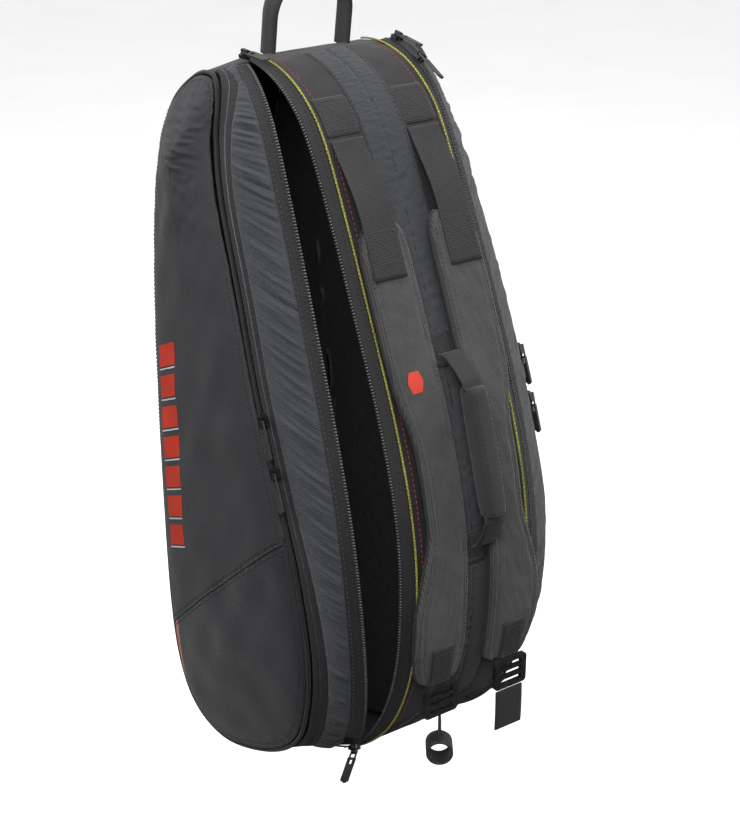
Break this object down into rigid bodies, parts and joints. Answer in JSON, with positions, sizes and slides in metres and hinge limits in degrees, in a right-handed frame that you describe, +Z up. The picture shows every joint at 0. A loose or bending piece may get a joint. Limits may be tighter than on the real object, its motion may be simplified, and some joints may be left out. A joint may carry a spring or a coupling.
{
  "type": "racket tournament bag",
  "caption": "Teardrop racket bag with two zipped racket compartments opening along the spine, zipped side pockets, padded shoulder straps, a carry handle and a hanging loop.",
  "frame": {"origin": "inside top of the hanging loop, where a hook holds the bag", "axes": "+Z up along the bag's length, X across its thickness with the open compartment on -X, the padded spine with its straps towards -Y"},
  "size_m": [0.3234, 0.4014, 0.8287],
  "materials": {
    "spine_fabric": "smooth matt woven polyester",
    "panel_twill": "crinkled blue-grey twill",
    "gusset_twill": "crinkled dark blue-grey twill",
    "lining": "plain dark lining",
    "stiffener": "foam-filled board",
    "zip_tape": "fine woven tape with coil teeth",
    "accent_piping": "yellow-green corded piping",
    "black_piping": "black corded piping",
    "lid_shell": "smooth matt coated fabric over foam",
    "lid_base": "fine diagonal twill over foam",
    "webbing": "black woven webbing",
    "pad_fabric": "charcoal heather knit over foam",
    "grip": "ribbed soft grip sleeve",
    "zip_metal": "gunmetal zip slider",
    "pull_rubber": "moulded matt pull",
    "buckle_plastic": "glossy black acetal"
  },
  "bodies": {
    "bag": {"spine_panel": "spine_fabric", "spine_center_panel": "panel_twill", "spine_stiffener": "stiffener", "back_gusset": "spine_fabric", "center_divider": "lining", "left_gusset": "gusset_twill", "right_gusset": "gusset_twill", "left_spine_zip_tape": "zip_tape", "right_spine_zip_tape": "zip_tape", "left_inner_wall": "lining", "right_inner_wall": "lining", "left_pocket_zip_tape": "zip_tape", "right_pocket_zip_tape": "zip_tape", "left_spine_piping": "accent_piping", "right_spine_piping": "accent_piping", "haul_loop": "webbing", "left_strap_anchor": "webbing", "right_strap_anchor": "webbing", "left_lower_anchor": "webbing", "right_lower_anchor": "webbing", "handle_anchors": "webbing", "right_lip_tape_top": "zip_tape", "left_lower_webbing": "webbing", "right_lower_webbing": "webbing"},
    "left_mouth": {"left_lip_zip_tape": "zip_tape"},
    "right_mouth": {"right_lip_zip_tape": "zip_tape"},
    "left_lid": {"left_lid_upper": "lid_shell", "left_lid_lower": "lid_base", "left_lid_piping": "black_piping"},
    "right_lid": {"right_lid_upper": "lid_shell", "right_lid_lower": "lid_base", "right_lid_piping": "black_piping"},
    "carry_handle": {"handle_webbing": "webbing", "handle_grip": "grip"},
    "left_top_slider_body": {"left_top_slider": "zip_metal"},
    "left_top_pull_tab": {"left_top_pull": "pull_rubber"},
    "left_bottom_slider_body": {"left_bottom_slider": "zip_metal"},
    "left_bottom_pull_tab": {"left_bottom_pull": "pull_rubber"},
    "right_top_slider_body": {"right_top_slider": "zip_metal"},
    "right_top_pull_tab": {"right_top_pull": "pull_rubber"},
    "right_lower_slider_body": {"right_lower_slider": "zip_metal"},
    "right_lower_pull_tab": {"right_lower_pull": "pull_rubber"},
    "left_pocket_upper_slider_body": {"left_pocket_upper_slider": "zip_metal"},
    "left_pocket_upper_pull_tab": {"left_pocket_upper_pull": "pull_rubber"},
    "left_pocket_lower_slider_body": {"left_pocket_lower_slider": "zip_metal"},
    "left_pocket_lower_pull_tab": {"left_pocket_lower_pull": "pull_rubber"},
    "right_pocket_upper_slider_body": {"right_pocket_upper_slider": "zip_metal"},
    "right_pocket_upper_pull_tab": {"right_pocket_upper_pull": "pull_rubber"},
    "right_pocket_lower_slider_body": {"right_pocket_lower_slider": "zip_metal"},
    "right_pocket_lower_pull_tab": {"right_pocket_lower_pull": "pull_rubber"},
    "left_strap": {"left_strap_webbing": "webbing", "left_shoulder_pad": "pad_fabric", "left_strap_patch": "webbing"},
    "left_strap_buckle": {"left_buckle": "buckle_plastic"},
    "left_strap_tail": {"left_webbing_tail": "webbing"},
    "right_strap": {"right_strap_webbing": "webbing", "right_shoulder_pad": "pad_fabric", "right_strap_patch": "webbing"},
    "right_strap_buckle": {"right_buckle": "buckle_plastic"},
    "right_strap_tail": {"right_webbing_tail": "webbing"}
  },
  "joints": [
    {"name": "left_mouth_swing", "type": "hinge", "parent": "bag", "child": "left_mouth", "pos_m": [-0.08581, -0.00993, -0.07414], "axis": [0.0004, -0.2658, -0.964], "range_deg": [-20, 3], "deforming": ["left_gusset"]},
    {"name": "right_mouth_swing", "type": "hinge", "parent": "bag", "child": "right_mouth", "pos_m": [0.08581, -0.00993, -0.07414], "axis": [0.0004, 0.2658, 0.964], "range_deg": [0, 20], "deforming": ["right_gusset"]},
    {"name": "left_lid_swing", "type": "hinge", "parent": "bag", "child": "left_lid", "pos_m": [-0.143, 0.088, -0.45], "axis": [0, 0, -1], "range_deg": [0, 35]},
    {"name": "right_lid_swing", "type": "hinge", "parent": "bag", "child": "right_lid", "pos_m": [0.143, 0.088, -0.45], "axis": [0, 0, 1], "range_deg": [0, 35]},
    {"name": "left_top_zip_run", "type": "hinge", "parent": "bag", "child": "left_top_slider_body", "pos_m": [-0.0856, -0.00553, -0.18654], "axis": [0.9994, 0.0338, -0.0075], "range_deg": [0, 42.28]},
    {"name": "left_top_pull_swing", "type": "hinge", "parent": "left_top_slider_body", "child": "left_top_pull_tab", "pos_m": [-0.08543, -0.01411, -0.06644], "axis": [-0.9828, -0.0115, -0.1841], "range_deg": [-6, 140]},
    {"name": "left_bottom_zip_run", "type": "hinge", "parent": "bag", "child": "left_bottom_slider_body", "pos_m": [-0.08417, -0.0419, -0.58778], "axis": [-1, -0.001, 0.0056], "range_deg": [0, 37.46]},
    {"name": "left_bottom_pull_swing", "type": "hinge", "parent": "left_bottom_slider_body", "child": "left_bottom_pull_tab", "pos_m": [-0.08708, -0.18901, -0.74912], "axis": [-0.9123, 0.2679, 0.3099], "range_deg": [-44.21, 95]},
    {"name": "right_top_zip_run", "type": "hinge", "parent": "bag", "child": "right_top_slider_body", "pos_m": [0.07305, -0.0098, -0.15815], "axis": [-0.9913, 0.0079, 0.1311], "range_deg": [0, 8.86]},
    {"name": "right_top_pull_swing", "type": "hinge", "parent": "right_top_slider_body", "child": "right_top_pull_tab", "pos_m": [0.0854, -0.02616, -0.06783], "axis": [-0.9735, 0.0027, 0.2287], "range_deg": [-4, 140]},
    {"name": "right_lower_zip_run", "type": "hinge", "parent": "bag", "child": "right_lower_slider_body", "pos_m": [0.08829, 0.00531, -0.20121], "axis": [0.9988, -0.0435, 0.0212], "range_deg": [0, 33.23]},
    {"name": "right_lower_pull_swing", "type": "hinge", "parent": "right_lower_slider_body", "child": "right_lower_pull_tab", "pos_m": [0.0855, -0.06331, -0.08168], "axis": [-0.8754, -0.1996, 0.4403], "range_deg": [-4, 90]},
    {"name": "left_pocket_upper_zip_run", "type": "slide", "parent": "bag", "child": "left_pocket_upper_slider_body", "axis": [0.0442, 0.3639, 0.9304], "range_m": [0, 0.1039]},
    {"name": "left_pocket_upper_pull_swing", "type": "hinge", "parent": "left_pocket_upper_slider_body", "child": "left_pocket_upper_pull_tab", "pos_m": [-0.15913, -0.14257, -0.38095], "axis": [-0.0433, 0.9309, -0.3626], "range_deg": [-4, 140]},
    {"name": "left_pocket_lower_zip_run", "type": "slide", "parent": "bag", "child": "left_pocket_lower_slider_body", "axis": [0.0207, -0.3455, -0.9382], "range_m": [0, 0.0895]},
    {"name": "left_pocket_lower_pull_swing", "type": "hinge", "parent": "left_pocket_lower_slider_body", "child": "left_pocket_lower_pull_tab", "pos_m": [-0.15926, -0.16085, -0.42834], "axis": [-0.0503, 0.935, -0.3509], "range_deg": [-4, 140]},
    {"name": "right_pocket_upper_zip_run", "type": "slide", "parent": "bag", "child": "right_pocket_upper_slider_body", "axis": [-0.0442, 0.3639, 0.9304], "range_m": [0, 0.1039]},
    {"name": "right_pocket_upper_pull_swing", "type": "hinge", "parent": "right_pocket_upper_slider_body", "child": "right_pocket_upper_pull_tab", "pos_m": [0.15913, -0.14257, -0.38095], "axis": [-0.0433, -0.9309, 0.3626], "range_deg": [-4, 140]},
    {"name": "right_pocket_lower_zip_run", "type": "slide", "parent": "bag", "child": "right_pocket_lower_slider_body", "axis": [-0.0207, -0.3455, -0.9382], "range_m": [0, 0.0895]},
    {"name": "right_pocket_lower_pull_swing", "type": "hinge", "parent": "right_pocket_lower_slider_body", "child": "right_pocket_lower_pull_tab", "pos_m": [0.15926, -0.16085, -0.42834], "axis": [-0.0503, -0.935, 0.3509], "range_deg": [-4, 140]},
    {"name": "carry_handle_swing", "type": "hinge", "parent": "bag", "child": "carry_handle", "pos_m": [0, -0.21658, -0.32487], "axis": [0, -0.2891, -0.9573], "range_deg": [-35, 35]},
    {"name": "left_strap_lift", "type": "hinge", "parent": "bag", "child": "left_strap", "pos_m": [-0.044, -0.1193, -0.13445], "axis": [-1, 0, 0], "range_deg": [0, 10], "deforming": ["left_lower_webbing"]},
    {"name": "left_buckle_tilt", "type": "hinge", "parent": "left_strap", "child": "left_strap_buckle", "pos_m": [-0.044, -0.273, -0.643], "axis": [-1, 0, 0], "range_deg": [-8, 35]},
    {"name": "left_tail_swing", "type": "hinge", "parent": "left_strap_buckle", "child": "left_strap_tail", "pos_m": [-0.044, -0.273, -0.6795], "axis": [-1, 0, 0], "range_deg": [-10, 25]},
    {"name": "right_strap_lift", "type": "hinge", "parent": "bag", "child": "right_strap", "pos_m": [0.044, -0.1193, -0.13445], "axis": [-1, 0, 0], "range_deg": [0, 10], "deforming": ["right_lower_webbing"]},
    {"name": "right_buckle_tilt", "type": "hinge", "parent": "right_strap", "child": "right_strap_buckle", "pos_m": [0.044, -0.273, -0.643], "axis": [-1, 0, 0], "range_deg": [-8, 35]},
    {"name": "right_tail_swing", "type": "hinge", "parent": "right_strap_buckle", "child": "right_strap_tail", "pos_m": [0.044, -0.273, -0.6795], "axis": [-1, 0, 0], "range_deg": [-10, 25]}
  ]
}
